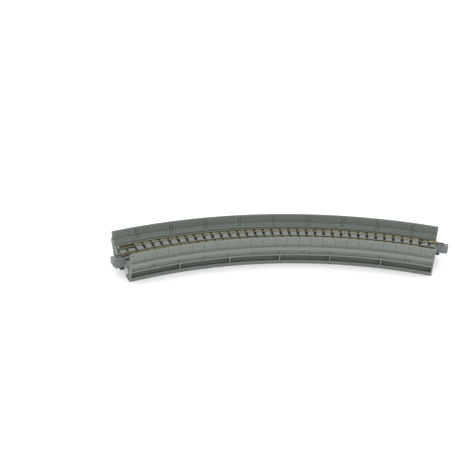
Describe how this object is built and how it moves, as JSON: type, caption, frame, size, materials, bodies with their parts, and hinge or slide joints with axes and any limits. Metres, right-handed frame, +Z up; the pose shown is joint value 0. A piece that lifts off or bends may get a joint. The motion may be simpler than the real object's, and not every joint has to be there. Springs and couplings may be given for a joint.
{
  "type": "model track section",
  "caption": "Curved single-track viaduct section for a small-gauge model railway: trough deck with parapets on ribbed side girders, metal rails and sliding rail joiners.",
  "frame": {"origin": "middle of the bounding box's lower face, on the surface the section stands on", "axes": "+X along the chord of the curve towards the right end, +Y away from the centre of curvature, +Z up"},
  "size_m": [0.234, 0.06, 0.0219],
  "materials": {
    "viaduct_plastic": "satin moulded, warm green-grey",
    "sleeper_plastic": "matt moulded grey",
    "joiner_plastic": "satin moulded blue-grey",
    "rail_metal": "bright drawn nickel-silver tint"
  },
  "bodies": {
    "viaduct": {"deck_slab": "viaduct_plastic", "sleeper_strip": "sleeper_plastic", "inner_parapet": "viaduct_plastic", "inner_girder": "viaduct_plastic", "inner_kerb": "viaduct_plastic", "inner_rail": "rail_metal", "outer_parapet": "viaduct_plastic", "outer_girder": "viaduct_plastic", "outer_kerb": "viaduct_plastic", "outer_rail": "rail_metal", "cross_rib_1": "viaduct_plastic", "cross_rib_2": "viaduct_plastic", "cross_rib_3": "viaduct_plastic", "cross_rib_4": "viaduct_plastic", "cross_rib_5": "viaduct_plastic", "left_socket_frame": "viaduct_plastic", "right_socket_frame": "viaduct_plastic"},
    "left_joiner": {"left_joiner_housing": "joiner_plastic", "left_joiner_shoe": "rail_metal"},
    "right_joiner": {"right_joiner_housing": "joiner_plastic", "right_joiner_shoe": "rail_metal"}
  },
  "joints": [
    {"name": "left_joiner_slide", "type": "slide", "parent": "viaduct", "child": "left_joiner", "axis": [-0.9239, -0.3827, 0], "range_m": [0, 0.009]},
    {"name": "right_joiner_slide", "type": "slide", "parent": "viaduct", "child": "right_joiner", "axis": [0.9239, -0.3827, 0], "range_m": [0, 0.009]}
  ]
}
